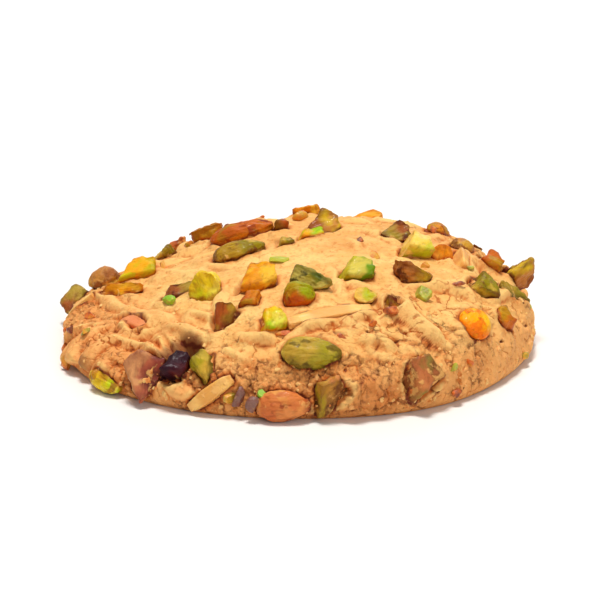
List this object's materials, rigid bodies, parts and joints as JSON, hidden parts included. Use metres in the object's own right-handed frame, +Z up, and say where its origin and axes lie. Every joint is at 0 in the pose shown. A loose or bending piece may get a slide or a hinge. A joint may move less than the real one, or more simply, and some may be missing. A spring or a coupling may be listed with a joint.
{
  "type": "pistachio and almond cookie",
  "caption": "Round domed almond-dough cookie with a cracked, porous crust, studded with chopped pistachio kernels and almond slivers, resting on its flat base.",
  "frame": {"origin": "centre of the cookie's outline, on the surface that it rests on", "axes": "+Z up through the domed top, -Y towards the side that the picture shows, +X to the right of that side"},
  "size_m": [0.0962, 0.0962, 0.0237],
  "materials": {
    "dough": "matt, finely porous baked almond dough, pale orange with darker cracks",
    "almond": "satin, pale toasted almond",
    "kernel_lime": "satin cut pistachio flesh, bright green",
    "kernel_yellow": "satin cut pistachio flesh, yellow-green",
    "kernel_olive": "satin pistachio, olive green",
    "kernel_amber": "satin toasted pistachio flesh, amber",
    "skin_mauve": "matt papery pistachio skin, mauve brown",
    "skin_brown": "matt papery pistachio skin, dark red-brown"
  },
  "bodies": {
    "root": {"almond_01": "almond", "almond_02": "almond", "almond_03": "almond", "almond_04": "almond", "almond_05": "almond", "almond_06": "almond", "almond_07": "almond", "almond_08": "almond", "almond_09": "almond", "dough": "dough", "pistachio_01": "skin_mauve", "pistachio_02": "kernel_yellow", "pistachio_03": "kernel_amber", "pistachio_04": "kernel_olive", "pistachio_05": "kernel_yellow", "pistachio_06": "skin_brown", "pistachio_07": "kernel_amber", "pistachio_08": "kernel_lime", "pistachio_09": "kernel_amber", "pistachio_10": "skin_mauve", "pistachio_11": "skin_brown", "pistachio_12": "skin_mauve", "pistachio_13": "kernel_lime", "pistachio_14": "kernel_olive", "pistachio_15": "skin_brown", "pistachio_16": "kernel_olive", "pistachio_17": "kernel_olive", "pistachio_18": "kernel_olive", "pistachio_19": "kernel_lime", "pistachio_20": "skin_brown", "pistachio_21": "kernel_yellow", "pistachio_22": "kernel_amber", "pistachio_23": "skin_brown", "pistachio_24": "skin_brown", "pistachio_25": "kernel_amber", "pistachio_26": "kernel_olive", "pistachio_27": "skin_brown", "pistachio_28": "kernel_olive", "pistachio_29": "kernel_amber", "pistachio_30": "skin_brown", "pistachio_31": "skin_brown", "pistachio_32": "kernel_yellow", "pistachio_33": "skin_brown", "pistachio_34": "kernel_olive", "pistachio_35": "skin_mauve", "pistachio_36": "kernel_lime", "pistachio_37": "skin_mauve", "pistachio_38": "kernel_olive", "pistachio_39": "skin_mauve", "pistachio_40": "skin_mauve", "pistachio_41": "skin_mauve", "pistachio_42": "kernel_amber", "pistachio_43": "kernel_olive", "pistachio_44": "kernel_yellow", "pistachio_45": "kernel_amber", "pistachio_46": "kernel_olive", "pistachio_47": "kernel_amber", "pistachio_48": "skin_mauve", "pistachio_49": "kernel_lime", "pistachio_50": "kernel_lime"}
  },
  "joints": []
}
